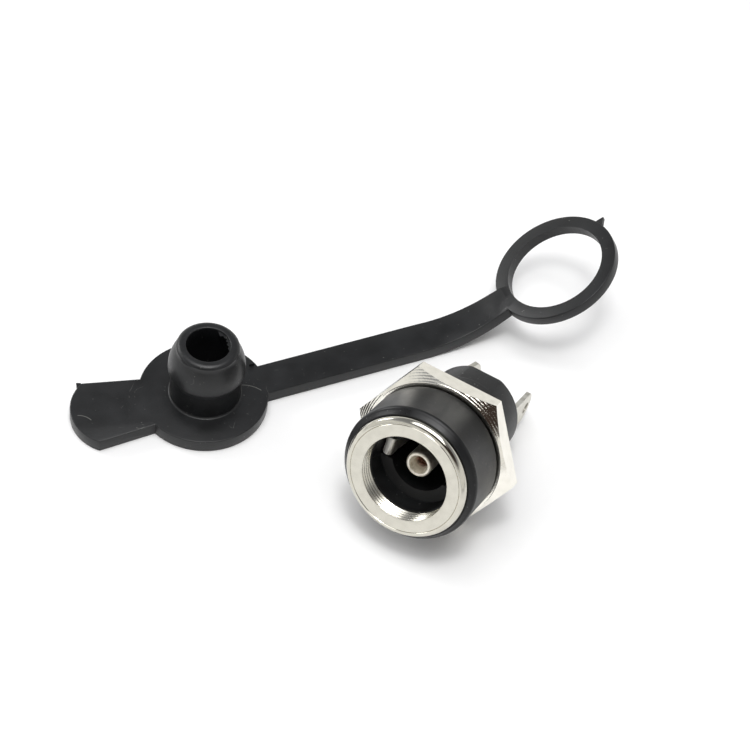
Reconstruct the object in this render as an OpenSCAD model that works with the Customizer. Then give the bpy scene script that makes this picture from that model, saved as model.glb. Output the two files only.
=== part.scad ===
// Panel-mount dc barrel jack with its rubber dust cap lying beside it.
// Lengths in mm. The table is z = 0. The jack lies on its side, tipped back
// onto its nut and its rear end. The cap lies plug up.

/* [Head] */
// outer diameter of the flange, the widest round of the head
flange_d = 13.1; // [13.1:0.05:13.6]
// diameter of the plain band behind the flange
band_d = 13.04; // [12.9:0.02:13.06]
// length of the head, from the front face to the panel seat
head_len = 5.95; // [5.7:0.05:6.4]
// outer diameter of the metal face ring
ring_od = 11.8; // [11.4:0.05:11.9]
// diameter of the face ring's bore at its mouth
mouth_d = 8.26; // [8.2:0.02:8.6]
// depth of the face ring
ring_depth = 1.7; // [1.5:0.05:1.9]
// depth of the ledge inside the head, where the plug hole begins
ledge_depth = 3.63; // [3.4:0.01:3.9]
// diameter of the hole that takes the plug's barrel
plug_hole_d = 5.7; // [5.6:0.02:5.8]

/* [Barrel] */
// outside diameter of the threaded barrel
thread_d = 10; // [9.9:0.02:10.1]
// width of the threaded barrel across its flats
thread_flats = 9.3; // [9.2:0.02:9.5]
// depth at which the thread ends
thread_end = 12.9; // [12:0.1:13.4]
// distance from one ridge of the thread to the next
thread_pitch = 0.75; // [0.7:0.05:1]
// diameter of the plain rear end
rear_d = 9.16; // [9.1:0.02:9.3]
// width of the rear end across its flats
rear_flats = 8.54; // [8.5:0.02:8.7]
// depth of the rear face, measured from the front face
body_len = 15.75; // [15.4:0.05:16.4]
// depth of the floor that the plug stops against
floor_depth = 13.2; // [12.9:0.05:13.4]

/* [Nut] */
// width of the nut across its flats
nut_af = 14; // [13.9:0.05:14.5]
// thickness of the nut
nut_t = 1.9; // [1.7:0.05:2.3]
// gap left between the panel seat and the nut
nut_gap = 0.15; // [0.05:0.05:1]
// diameter of the flat ring on the nut's front face, inside the corner chamfer
nut_face_d = 13.56; // [13.4:0.02:13.8]

/* [Contacts] */
// diameter of the centre pin
pin_d = 2.5; // [2:0.1:2.5]
// depth of the centre pin's tip
pin_tip = 3.05; // [2.9:0.05:3.5]
// diameter of the centre pin's hole
pin_hole_d = 1.3; // [1:0.05:1.4]
// thickness of the spring leaves and the solder lugs
leaf_t = 0.45; // [0.4:0.01:0.48]
// width of a spring leaf
leaf_w = 1.8; // [1.6:0.05:1.9]
// distance of each side lug's middle from the jack's axis
lug_offset = 3.45; // [3.4:0.01:3.5]
// width of the switch contact's lug
switch_lug_w = 3.3; // [2.8:0.1:4]
// length of the switch contact's lug behind the rear face
switch_lug_len = 5.75; // [5.4:0.05:7]
// width of the sleeve contact's lug
sleeve_lug_w = 3.3; // [2.8:0.1:3.8]
// length of the sleeve contact's lug behind the rear face
sleeve_lug_len = 6.45; // [6:0.05:7.5]
// angle by which the sleeve contact's lug is bent in, in degrees
sleeve_lug_lean = 9.4; // [0:0.1:10]
// width of the centre pin's lug
pin_lug_w = 2.4; // [2.2:0.05:2.8]
// length of the centre pin's lug behind the rear face
pin_lug_len = 5; // [4.5:0.1:6]
// diameter of the wire hole in each lug
lug_hole_d = 1.2; // [1:0.05:1.3]

/* [Cap] */
// diameter of the cap's disc
disc_d = 12.5; // [12:0.1:13.2]
// thickness of the disc, the tab and the strap
cap_t = 1.4; // [1.2:0.05:1.5]
// height of the plug's top above the table
plug_top = 8.22; // [8:0.01:8.6]
// largest diameter of the plug
plug_d = 7.4; // [7.2:0.05:7.6]
// diameter of the plug's neck
neck_d = 6.4; // [6.2:0.05:6.6]
// diameter of the plug's moulded hollow
hollow_d = 4.16; // [4:0.02:4.4]
// how far the plug sits off the disc's centre, towards the strap
plug_shift = 0.15; // [0:0.01:0.2]
// distance from the plug's centre to the end of the pull tab
tab_len = 12.95; // [12:0.05:14]
// width of the tab at its root
tab_root_w = 5.8; // [5.4:0.05:6.2]
// width of the tab at its end
tab_end_w = 7.36; // [7:0.02:7.6]
// width of the strap's flat run
strap_w = 3.55; // [3.3:0.05:3.9]
// width of the strap where it meets the ring
strap_end_w = 3.2; // [3:0.05:3.6]
// length of the flat strap, from the plug's centre to where it bends up
strap_flat = 23.37; // [20:0.1:28]
// radius of the strap's bend, on its underside
bend_r = 15.5; // [13:0.1:18]
// angle by which the strap's end rises, in degrees
rise = 30; // [25:0.5:32]
// distance from the end of the bend to the ring's centre
ring_reach = 7.6; // [7.4:0.05:8.2]
// outer diameter of the cap's ring
loop_od = 12.7; // [12.6:0.05:13.2]
// inner diameter of the cap's ring
loop_id = 10.06; // [10:0.02:10.3]
// thickness of the cap's ring
loop_t = 1; // [0.9:0.05:1.3]
// twist of the ring about the strap, in degrees
twist = 11; // [6:1:12]

/* [Layout] */
// place of the plug's centre, to the left of the part's middle
cap_x = -10.674; // [-14:0.001:-8]
// place of the plug's centre, front to back
cap_y = -12.681; // [-16:0.001:-10]
// heading of the strap, in degrees from the part's x axis
cap_turn = 53.9; // [53:0.1:55]
// place of the jack's front face, left to right
jack_x = 12.692; // [12:0.001:16]
// place of the jack's front face, front to back
jack_y = -16.541; // [-20:0.001:-14]

/* [Hidden] */
$fn = 96;
eps = 0.01;
flange_r = flange_d / 2;
band_r = band_d / 2;
ring_r = ring_od / 2;
mouth_r = mouth_d / 2;
// clearance round the face ring in its recess
ring_fit = 0.02;
// width of the black lip left round the face ring
lip_w = 0.14;
// depth of the flange's front lip and of its widest edge
lip_depth = 0.62;
flange_depth = 1.4;
ledge_wall_r = mouth_r - 0.14;
plug_r = plug_hole_d / 2;
thread_r = thread_d / 2;
rear_r = rear_d / 2;
// the thread's ridges: radius of their roots, width of a crest, and their count
thread_root_r = rear_r - 0.02;
thread_crest = thread_pitch / 8;
thread_start = head_len + 0.2;
thread_ridges = floor((thread_end - thread_start) / thread_pitch);
// clearance between the nut and the barrel
nut_fit = 0.04;
nut_front = head_len + nut_gap;
nut_back = nut_front + nut_t;
nut_corner_r = nut_af / sqrt(3);
// clearance round the centre pin's shank and the leaves in the rear wall
press_fit = 0.01;
shank_r = 0.7;
// the leaf's hooked nose: outer radius of its fold, its place and its depth
nose_r = 0.5;
nose_x = 3.34;
nose_depth = 3.5;
// the slot that a spring leaf lies in
slot_w = leaf_w + 0.4;
slot_outer = nose_x + nose_r + 0.1;
// how far from the jack's axis the leaf grips the plug
grip_x = plug_r - 0.25;
// the strap's bend, measured on its upper side
bend_top_r = bend_r - cap_t;
bend_len = bend_top_r * rise * PI / 180;
neck_len = ring_reach - loop_id / 2 - 0.6;
// how far the strap's middle lies off the disc's centre line
strap_side = -0.45;
// the jack tips back until its nut and its rear flat both touch the table
tilt = atan((nut_af / 2 - rear_flats / 2) / (body_len - nut_back));
jack_z = nut_back * sin(tilt) + nut_af / 2 * cos(tilt);

// Points of an arc, for profiles that are spun or extruded.
function arc(cx, cy, r, a0, a1, n = 8) =
    [for (i = [0:n]) let (a = a0 + (a1 - a0) * i / n) [cx + r * cos(a), cy + r * sin(a)]];

// Stands a jack piece in its resting pose. Its own z runs from the front face
// to the rear, and its own y points down.
module at_jack() {
    translate([jack_x, jack_y, jack_z])
        rotate([-90 - tilt, 0, 0])
            children();
}

// Turned metal ring round the mouth, with a full-round outer edge.
module face_ring() {
    edge = 0.5;
    lip = 0.08;
    profile = concat(
        [[mouth_r, ring_depth]],
        arc(mouth_r + lip, lip, lip, 180, 270, 4),
        arc(ring_r - edge, edge, edge, -90, 0, 10),
        [[ring_r, ring_depth]]
    );
    color([0.8, 0.79, 0.76])
        at_jack()
            rotate_extrude()
                polygon(profile);
}

// One black moulding: flange, band, barrel and rear end, with the plug's
// hole, the recess of the face ring and a slot for each spring leaf.
module housing() {
    recess_r = ring_r + ring_fit;
    outer = concat(
        [[0, ring_depth], [recess_r, ring_depth], [recess_r, lip_depth]],
        [[recess_r + lip_w, lip_depth]],
        arc(flange_r - 0.45, flange_depth, 0.45, -62, 0, 6),
        [[band_r, flange_depth + 0.06]],
        arc(band_r - 0.2, head_len - 0.2, 0.2, 0, 90, 5),
        [[thread_root_r, head_len]],
        // each ridge as a plain ring, with a flat crest and sloping flanks
        [for (i = [0:thread_ridges - 1]) let (z = thread_end + (i - thread_ridges) * thread_pitch)
            each [[thread_root_r, z], [thread_r, z + (thread_pitch - thread_crest) / 2],
                  [thread_r, z + (thread_pitch + thread_crest) / 2]]],
        [[thread_root_r, thread_end]],
        [[rear_r, thread_end + 0.3]],
        [[rear_r, body_len - 0.12]],
        [[rear_r - 0.12, body_len]],
        [[0, body_len]]
    );
    color([0.07, 0.07, 0.07])
        at_jack()
            difference() {
                rotate_extrude()
                    polygon(outer);
                // wall in front of the ledge, drawn in slightly to the rear
                translate([0, 0, ring_depth - eps])
                    cylinder(h = ledge_depth - ring_depth + eps, r1 = mouth_r - 0.09, r2 = ledge_wall_r);
                cylinder(h = floor_depth, r = plug_r);
                // slots of the two spring leaves
                for (side = [-1, 1])
                    translate([side * (slot_outer / 2 + 0.5), 0, (ledge_depth + floor_depth) / 2])
                        cube([slot_outer - 1, slot_w, floor_depth - ledge_depth + 2 * eps], center = true);
                // slits that hold the leaves in the rear wall
                for (side = [-1, 1])
                    translate([side * lug_offset, 0, body_len])
                        cube([leaf_t + 2 * press_fit, leaf_w + 2 * press_fit, 2 * body_len - 2 * floor_depth + 1],
                             center = true);
                cylinder(h = body_len + 1, r = shank_r + press_fit);
                // flats along the thread and along the rear end
                for (side = [-1, 1]) {
                    translate([-flange_r, side * (thread_flats / 2 + 2) - 2, head_len])
                        cube([flange_d, 4, body_len]);
                    translate([-flange_r, side * (rear_flats / 2 + 2) - 2, thread_end + 0.15])
                        cube([flange_d, 4, body_len]);
                }
            }
}

// Hex nut with a turned chamfer on the corners that face the head.
module hex_nut() {
    bore_r = thread_r + nut_fit;
    drop = (nut_corner_r + 0.3 - nut_face_d / 2) * tan(30);
    envelope = [[0, 0], [nut_face_d / 2, 0], [nut_corner_r + 0.3, drop], [nut_corner_r + 0.3, nut_t], [0, nut_t]];
    color([0.82, 0.81, 0.78])
        at_jack()
            translate([0, 0, nut_front])
                difference() {
                    intersection() {
                        cylinder(h = nut_t, r = nut_corner_r, $fn = 6);
                        rotate_extrude()
                            polygon(envelope);
                    }
                    translate([0, 0, -1])
                        cylinder(h = nut_t + 2, r = bore_r);
                    // countersink at each end of the thread
                    translate([0, 0, -eps])
                        cylinder(h = 0.3, r1 = bore_r + 0.3, r2 = bore_r);
                    translate([0, 0, nut_t - 0.3 + eps])
                        cylinder(h = 0.3, r1 = bore_r, r2 = bore_r + 0.3);
                }
}

// Hollow turned pin with a rounded lip. Its shank runs through the rear wall
// and is peened over the lug.
module centre_pin() {
    pin_r = pin_d / 2;
    hole_r = pin_hole_d / 2;
    lip = 0.22;
    head_z = body_len + leaf_t;
    profile = concat(
        [[0, pin_tip + 7], [hole_r, pin_tip + 6.6], [hole_r, pin_tip + 0.85]],
        arc(pin_r - lip, pin_tip + lip, lip, -125, 0, 8),
        [[pin_r, floor_depth], [shank_r, floor_depth], [shank_r, head_z]],
        [[shank_r + 0.35, head_z], [shank_r + 0.25, head_z + 0.3], [0, head_z + 0.4]]
    );
    color([0.8, 0.78, 0.72])
        at_jack()
            rotate_extrude()
                polygon(profile);
}

// A flat lug with a round end and a wire hole, drawn along +z from the origin
// with its thickness along x.
module lug_blade(len, width) {
    end_r = 0.57 * width;
    hole_back = 1.1;
    difference() {
        intersection() {
            translate([-leaf_t / 2, -width / 2, 0])
                cube([leaf_t, width, len]);
            union() {
                translate([-leaf_t, 0, len - end_r])
                    rotate([0, 90, 0])
                        cylinder(h = 2 * leaf_t, r = end_r);
                translate([-leaf_t, -width, -1])
                    cube([2 * leaf_t, 2 * width, len - end_r + 1]);
            }
        }
        translate([-leaf_t, 0, len - hole_back])
            rotate([0, 90, 0])
                cylinder(h = 2 * leaf_t, r = lug_hole_d / 2);
    }
}

// Lug of the centre pin: a foot on the rear face and a tail bent rearward.
module pin_lug() {
    tail_y = 1.45;
    fold_r = 0.6;
    fold_y = tail_y - fold_r + leaf_t / 2;
    color([0.8, 0.78, 0.72])
        at_jack() {
            difference() {
                translate([-pin_lug_w / 2, -1.3, body_len])
                    cube([pin_lug_w, 1.3 + fold_y, leaf_t]);
                translate([0, 0, body_len - 1])
                    cylinder(h = 3, r = shank_r + press_fit);
            }
            // the fold between the foot and the tail
            intersection() {
                translate([0, fold_y, body_len + fold_r])
                    rotate([0, 90, 0])
                        difference() {
                            cylinder(h = pin_lug_w, r = fold_r, center = true);
                            cylinder(h = pin_lug_w + 1, r = fold_r - leaf_t, center = true);
                        }
                translate([-pin_lug_w / 2, fold_y, body_len])
                    cube([pin_lug_w, fold_r, fold_r]);
            }
            translate([0, tail_y, body_len + fold_r])
                rotate([0, 0, 90])
                    lug_blade(pin_lug_len - fold_r, pin_lug_w);
        }
}

// Spring leaf in one piece with its solder lug, for the +x side. The leaf
// lies in its slot, bows in towards the plug and ends in a hooked nose.
module side_contact(lug_len, lug_w, lean) {
    inner_x = nose_x - nose_r + leaf_t / 2;
    fold_z = nose_depth + nose_r;
    // ends of the leaf's straight runs, as [x, z] along its middle line
    path = [[lug_offset, body_len + 0.2], [lug_offset, 12.2], [grip_x + leaf_t / 2, 8.2],
            [inner_x, 5.2], [inner_x, fold_z]];
    for (i = [0:3])
        leaf_run(path[i], path[i + 1]);
    // round the bend between two runs
    for (i = [1:3])
        translate([path[i][0], 0, path[i][1]])
            rotate([90, 0, 0])
                cylinder(h = leaf_w, r = leaf_t / 2, center = true);
    // hooked nose, folded outward
    translate([nose_x, 0, fold_z])
        rotate([90, 0, 0])
            difference() {
                cylinder(h = leaf_w, r = nose_r, center = true);
                cylinder(h = leaf_w + 1, r = nose_r - leaf_t, center = true);
                translate([-2, 0, -2])
                    cube([4, 4, 4]);
            }
    translate([nose_x + nose_r - leaf_t, -leaf_w / 2, fold_z])
        cube([leaf_t, leaf_w, 0.5]);
    // the lug leans in about its root, clear of the rear face
    translate([lug_offset, 0, body_len + leaf_t / 2 * sin(lean)])
        rotate([0, -lean, 0])
            lug_blade(lug_len, lug_w);
}

// Straight stretch of the leaf between two points of its middle line.
module leaf_run(a, b) {
    run = norm(b - a);
    lean = atan2(b[0] - a[0], b[1] - a[1]);
    translate([a[0], 0, a[1]])
        rotate([0, lean, 0])
            translate([-leaf_t / 2, -leaf_w / 2, 0])
                cube([leaf_t, leaf_w, run]);
}

module sleeve_contact() {
    color([0.83, 0.82, 0.8])
        at_jack()
            mirror([1, 0, 0])
                side_contact(sleeve_lug_len, sleeve_lug_w, sleeve_lug_lean);
}

module switch_contact() {
    color([0.83, 0.82, 0.8])
        at_jack()
            side_contact(switch_lug_len, switch_lug_w, 0);
}

// Hollow plug of the cap: neck, lip and domed top, spun round its own axis.
module cap_plug() {
    lip_r = plug_d / 2;
    neck_r = neck_d / 2;
    hollow_r = hollow_d / 2;
    root_r = 0.5;
    lip_z = 5.15;
    dome_r = 4.6;
    crown_r = 0.6;
    // the dome narrows on a wide arc up to the rounded crown
    dome_angle = asin((plug_top - crown_r - lip_z) / dome_r);
    crown_x = lip_r - dome_r * (1 - cos(dome_angle)) - crown_r * cos(dome_angle);
    profile = concat(
        [[0, cap_t - 0.3], [neck_r + root_r, cap_t - 0.3]],
        arc(neck_r + root_r, cap_t + root_r, root_r, 270, 180, 6),
        [[neck_r, 4.15], [neck_r + 0.12, 4.4]],
        arc(lip_r - 0.3, lip_z - 0.2, 0.3, -50, 0, 4),
        arc(lip_r - dome_r, lip_z, dome_r, 0, dome_angle, 10),
        arc(crown_x, plug_top - crown_r, crown_r, dome_angle, 90, 8),
        arc(hollow_r + 0.15, plug_top - 0.15, 0.15, 90, 180, 4),
        [[hollow_r, 2.4], [hollow_r - 0.3, 2], [0, 1.9]]
    );
    translate([plug_shift, 0, 0])
        rotate_extrude()
            polygon(profile);
}

// Pull tab, flared towards its arc end, drawn along -x.
module cap_tab() {
    corner_x = tab_len - 1.85;
    end_r = 4.54;
    rotate([0, 0, -5.3])
        mirror([1, 0, 0])
            intersection() {
                linear_extrude(height = cap_t)
                    polygon([[3, -tab_root_w / 2 + 0.25], [5.5, -tab_root_w / 2], [corner_x, -tab_end_w / 2],
                             [tab_len + 1, -tab_end_w / 2], [tab_len + 1, tab_end_w / 2],
                             [corner_x, tab_end_w / 2], [5.5, tab_root_w / 2], [3, tab_root_w / 2 - 0.25]]);
                union() {
                    translate([tab_len - end_r, 0, -1])
                        cylinder(h = cap_t + 2, r = end_r);
                    translate([2, -5, -1])
                        cube([corner_x - 2, 10, cap_t + 2]);
                }
            }
}

// Corners of the strap's section at a length l past the start of its bend,
// in the order lower right, lower left, upper left, upper right.
function strap_section(l) =
    let (
        k = min(max(l / (bend_len + neck_len), 0), 1),
        pitch = rise * min(max(l / bend_len, 0), 1),
        on_bend = [strap_flat + bend_top_r * sin(pitch), 0, cap_t + bend_top_r * (1 - cos(pitch))],
        along = [cos(pitch), 0, sin(pitch)],
        middle = on_bend + along * (min(l, 0) + max(l - bend_len, 0)),
        above = [-sin(pitch), 0, cos(pitch)],
        left = [0, cos(twist * k), 0] - above * sin(twist * k),
        down = -cross(along, left) * (cap_t + (loop_t - cap_t) * k),
        half = left * (strap_w + (strap_end_w - strap_w) * k) / 2
    )
    [middle - half + down, middle + half + down, middle + half, middle - half];

// Strap: a flat run on the table, then a bend that lifts and twists its end.
module cap_strap() {
    steps = 16;
    lengths = concat([4 - strap_flat], [for (i = [0:steps]) bend_len * i / steps], [bend_len + neck_len]);
    last = len(lengths) - 1;
    corners = [for (l = lengths) each strap_section(l)];
    sides = [for (i = [0:last - 1]) for (j = [0:3])
        let (a = 4 * i + j, b = 4 * i + (j + 1) % 4)
        each [[a, b + 4, b], [a, a + 4, b + 4]]];
    polyhedron(points = corners, faces = concat([[0, 1, 2, 3]], sides, [[for (j = [3:-1:0]) 4 * last + j]]));
}

// Ring at the strap's end, with the thin flash nib left by its mould.
module cap_loop() {
    loop_r = loop_od / 2;
    translate([strap_flat + bend_top_r * sin(rise), 0, cap_t + bend_top_r * (1 - cos(rise))])
        rotate([0, -rise, 0])
            translate([ring_reach, 0, 0])
                rotate([-twist, 0, 0])
                    translate([0, 0, -loop_t]) {
                        cylinder(h = loop_t, r = loop_r);
                        translate([0, 0, 0.5])
                            linear_extrude(height = 0.5)
                                polygon([[loop_r - 0.7, 1], [loop_r - 0.05, 1.25], [loop_r + 0.6, 2.4],
                                         [loop_r - 0.4, 2.35], [loop_r - 0.8, 2.2]]);
                    }
}

// Space left open through the ring.
module loop_bore() {
    translate([strap_flat + bend_top_r * sin(rise), 0, cap_t + bend_top_r * (1 - cos(rise))])
        rotate([0, -rise, 0])
            translate([ring_reach, 0, 0])
                rotate([-twist, 0, 0])
                    cylinder(h = 4 * loop_t, r = loop_id / 2, center = true);
}

// The rubber cap in one moulding.
module dust_cap() {
    color([0.05, 0.05, 0.05])
        translate([cap_x, cap_y, 0])
            rotate([0, 0, cap_turn]) {
                cylinder(h = cap_t, r = disc_d / 2);
                cap_plug();
                cap_tab();
                translate([0, strap_side, 0])
                    difference() {
                        union() {
                            cap_strap();
                            cap_loop();
                        }
                        loop_bore();
                    }
            }
}

face_ring();
housing();
hex_nut();
centre_pin();
pin_lug();
sleeve_contact();
switch_contact();
dust_cap();
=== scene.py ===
"""Looks of a panel-mount dc barrel jack and its rubber dust cap.

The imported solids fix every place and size. Each visible piece is modelled
again here with its turned, stamped and moulded detail, dressed in procedural
finishes, and set in a plain studio. Pieces are drawn in millimetres in the
jack's or the cap's own frame, and shrunk to metres when they are put in place.
"""

import logging
import math
from dataclasses import dataclass
from enum import Enum

import bpy
from mathutils import Matrix, Vector


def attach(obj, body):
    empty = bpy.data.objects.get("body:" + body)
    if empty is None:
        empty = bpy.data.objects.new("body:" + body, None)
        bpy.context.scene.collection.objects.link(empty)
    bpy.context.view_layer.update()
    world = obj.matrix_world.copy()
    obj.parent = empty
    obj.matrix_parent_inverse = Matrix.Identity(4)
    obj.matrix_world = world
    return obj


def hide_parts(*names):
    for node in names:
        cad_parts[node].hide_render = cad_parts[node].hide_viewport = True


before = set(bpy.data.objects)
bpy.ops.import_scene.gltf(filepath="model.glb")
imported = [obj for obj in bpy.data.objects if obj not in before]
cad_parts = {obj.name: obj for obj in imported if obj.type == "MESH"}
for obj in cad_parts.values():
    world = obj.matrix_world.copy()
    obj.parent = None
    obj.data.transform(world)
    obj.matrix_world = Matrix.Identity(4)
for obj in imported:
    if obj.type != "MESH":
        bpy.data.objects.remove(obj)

LOG = logging.getLogger("barrel_jack")
Object = bpy.types.Object
Material = bpy.types.Material
Tree = bpy.types.NodeTree
Node = bpy.types.Node
Socket = bpy.types.NodeSocket

MM = 0.001
BODY = "root"
ROUND = 160
# the wire holes of the lugs: their radius, and their distance from the lug's end
LUG_HOLE_R = 0.6
LUG_HOLE_END = 1.1


# -------- places


@dataclass(frozen=True)
class Layout:
    """Where the jack and its cap lie, in millimetres and degrees."""

    jack: tuple[float, float, float] = (12.692, -16.541, 9.2602)
    tilt: float = 19.4043
    cap: tuple[float, float, float] = (-10.674, -12.681, 0.0)
    cap_turn: float = 53.9

    def jack_frame(self) -> Matrix:
        """Place of the jack: its own z runs from the front face to the rear, its y down."""
        turn = Matrix.Rotation(math.radians(-90 - self.tilt), 4, "X")
        return Matrix.Scale(MM, 4) @ Matrix.Translation(self.jack) @ turn

    def cap_frame(self) -> Matrix:
        """Place of the cap: its own x runs from the plug along the strap."""
        turn = Matrix.Rotation(math.radians(self.cap_turn), 4, "Z")
        return Matrix.Scale(MM, 4) @ Matrix.Translation(self.cap) @ turn


# -------- modelling by hand


def deselect() -> None:
    """Leaves edit mode and clears the selection."""
    if bpy.context.object and bpy.context.object.mode != "OBJECT":
        bpy.ops.object.mode_set(mode="OBJECT")
    bpy.ops.object.select_all(action="DESELECT")


def select_only(piece: Object) -> None:
    """Makes one piece the only selected and the active one.

    Args:
        piece: the piece.
    """
    deselect()
    piece.select_set(True)
    bpy.context.view_layer.objects.active = piece


def bake(piece: Object) -> None:
    """Applies a piece's own place, turn and size to its mesh."""
    select_only(piece)
    bpy.ops.object.transform_apply(location=True, rotation=True, scale=True)


def arc(cx: float, cy: float, r: float, start: float, end: float, steps: int = 8) -> list:
    """Points of an arc.

    Args:
        cx, cy: centre.
        r: radius.
        start, end: angles in degrees.
        steps: number of chords.

    Returns:
        A list of (x, y) pairs.
    """
    angles = [math.radians(start + (end - start) * i / steps) for i in range(steps + 1)]
    return [(cx + r * math.cos(a), cy + r * math.sin(a)) for a in angles]


def rounded(x: float, y: float, r: float, start: float, steps: int) -> list:
    """Quarter arc that rounds an outer corner.

    Args:
        x, y: the corner before it is rounded.
        r: radius.
        start: -90 for a corner at the lower end, 0 for one at the upper end.
        steps: number of chords.

    Returns:
        A list of (x, y) pairs.
    """
    return arc(x - r, y + r if start < 0 else y - r, r, start, start + 90, steps)


def trace(name: str, points: list, closed: bool = False) -> Object:
    """Draws a chain of edges by pulling one vertex from point to point.

    Args:
        name: the new piece's name.
        points: places as (x, y, z).
        closed: whether the last point joins the first.

    Returns:
        The piece, left in edit mode with all of it selected.
    """
    deselect()
    bpy.ops.mesh.primitive_plane_add(size=1)
    piece = bpy.context.object
    piece.name = name
    bpy.ops.object.mode_set(mode="EDIT")
    bpy.ops.mesh.select_all(action="SELECT")
    bpy.ops.mesh.merge(type="CENTER")
    route = [Vector(p) for p in points]
    bpy.ops.transform.translate(value=route[0])
    chain = route + route[:1] if closed else route
    for here, there in zip(chain, chain[1:]):
        bpy.ops.mesh.extrude_region_move(TRANSFORM_OT_translate={"value": there - here})
    bpy.ops.mesh.select_all(action="SELECT")
    bpy.ops.mesh.remove_doubles(threshold=1e-4)
    return piece


def lathe(name: str, profile: list, closed: bool = True, steps: int = ROUND) -> Object:
    """Turns a profile round the z axis.

    Args:
        name: the new piece's name.
        profile: (radius, depth) pairs.
        closed: whether the profile is a closed loop, as for a ring.
        steps: number of sides.

    Returns:
        The turned piece, in object mode.
    """
    piece = trace(name, [(r, 0, z) for r, z in profile], closed)
    bpy.ops.mesh.spin(steps=steps, angle=math.tau, center=(0, 0, 0), axis=(0, 0, 1))
    mend()
    return piece


def mend() -> None:
    """Merges doubles, drops empty faces and points all faces outwards."""
    bpy.ops.mesh.select_all(action="SELECT")
    bpy.ops.mesh.remove_doubles(threshold=1e-4)
    bpy.ops.mesh.dissolve_degenerate(threshold=1e-5)
    bpy.ops.mesh.select_all(action="SELECT")
    bpy.ops.mesh.normals_make_consistent(inside=False)
    bpy.ops.object.mode_set(mode="OBJECT")


def slab(name: str, outline: list, height: float, base: float = 0.0) -> Object:
    """Raises a flat outline into a plate.

    Args:
        name: the new piece's name.
        outline: (x, y) pairs round the plate.
        height: its thickness.
        base: its underside.

    Returns:
        The plate, in object mode.
    """
    piece = trace(name, [(x, y, base) for x, y in outline], closed=True)
    bpy.ops.mesh.edge_face_add()
    bpy.ops.mesh.extrude_region_move(TRANSFORM_OT_translate={"value": (0, 0, height)})
    mend()
    return piece


def loft(name: str, rings: list) -> Object:
    """Bridges a row of closed sections into a solid with flat ends.

    Args:
        name: the new piece's name.
        rings: sections, each a list of (x, y, z) with the same count.

    Returns:
        The solid, in object mode.
    """
    parts = []
    for i, ring in enumerate(rings):
        part = trace(f"{name}_{i}", ring, closed=True)
        if i in (0, len(rings) - 1):
            bpy.ops.mesh.edge_face_add()
        bpy.ops.object.mode_set(mode="OBJECT")
        parts.append(part)
    deselect()
    for part in parts:
        part.select_set(True)
    bpy.context.view_layer.objects.active = parts[0]
    bpy.ops.object.join()
    piece = bpy.context.object
    piece.name = name
    count = len(rings[0])
    for i in range(len(rings) - 1):
        bpy.ops.object.mode_set(mode="OBJECT")
        for part in (*piece.data.vertices, *piece.data.polygons):
            part.select = False
        for edge in piece.data.edges:
            edge.select = all(i * count <= k < (i + 2) * count for k in edge.vertices)
        bpy.ops.object.mode_set(mode="EDIT")
        bpy.ops.mesh.select_mode(type="EDGE")
        bpy.ops.mesh.bridge_edge_loops()
    bpy.ops.mesh.select_mode(type="VERT")
    mend()
    return piece


def apply(piece: Object, kind: str, **settings: object) -> None:
    """Adds a modifier to a piece and applies it.

    Args:
        piece: the piece to change.
        kind: the modifier's type.
        settings: its values.
    """
    select_only(piece)
    bpy.ops.object.modifier_add(type=kind)
    modifier = piece.modifiers[-1]
    for key, value in settings.items():
        setattr(modifier, key, value)
    bpy.ops.object.modifier_apply(modifier=modifier.name)


def soften(piece: Object, width: float, segments: int, angle: float) -> None:
    """Rounds a piece's edges that are sharper than an angle in degrees."""
    limit = math.radians(angle)
    apply(piece, "BEVEL", width=width, segments=segments, limit_method="ANGLE", angle_limit=limit)


def carve(piece: Object, tool: Object, way: str = "DIFFERENCE") -> None:
    """Cuts a piece with a tool, or joins or crosses the two, and removes the tool.

    Args:
        piece: the piece to change.
        tool: the solid that acts on it.
        way: DIFFERENCE, UNION or INTERSECT.
    """
    apply(piece, "BOOLEAN", operation=way, object=tool, solver="EXACT")
    bpy.data.objects.remove(tool, do_unlink=True)


def block(size: tuple, centre: tuple) -> Object:
    """A plain block, used as a cutting tool.

    Args:
        size: its three sides.
        centre: its middle.

    Returns:
        The block.
    """
    deselect()
    bpy.ops.mesh.primitive_cube_add(size=1, location=centre)
    tool = bpy.context.object
    tool.scale = size
    bake(tool)
    return tool


def rod(radius: float, length: float, centre: tuple, across: bool = False) -> Object:
    """A plain rod, used as a drill.

    Args:
        radius: its radius.
        length: its length.
        centre: its middle.
        across: whether it lies along x instead of z.

    Returns:
        The rod.
    """
    turn = (0, math.pi / 2 if across else 0, 0)
    deselect()
    bpy.ops.mesh.primitive_cylinder_add(
        vertices=64, radius=radius, depth=length, location=centre, rotation=turn
    )
    tool = bpy.context.object
    bake(tool)
    return tool


# -------- finishes


def linear(text: str) -> tuple:
    """Turns an sRGB hex colour into linear RGBA."""
    channels = [int(text[i : i + 2], 16) / 255 for i in (1, 3, 5)]
    return (*[c / 12.92 if c <= 0.04045 else ((c + 0.055) / 1.055) ** 2.4 for c in channels], 1.0)


def add_node(tree: Tree, kind: str, values: dict | None = None, **settings: object) -> Node:
    """Adds a node with its settings and links.

    Args:
        tree: the node tree.
        kind: the node's type.
        values: socket name or number, to a value or to another node's output.
        settings: attributes of the node.

    Returns:
        The node.
    """
    made = tree.nodes.new(kind)
    for key, value in settings.items():
        setattr(made, key, value)
    for key, value in (values or {}).items():
        if isinstance(value, Socket):
            tree.links.new(value, made.inputs[key])
        else:
            made.inputs[key].default_value = value
    return made


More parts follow.
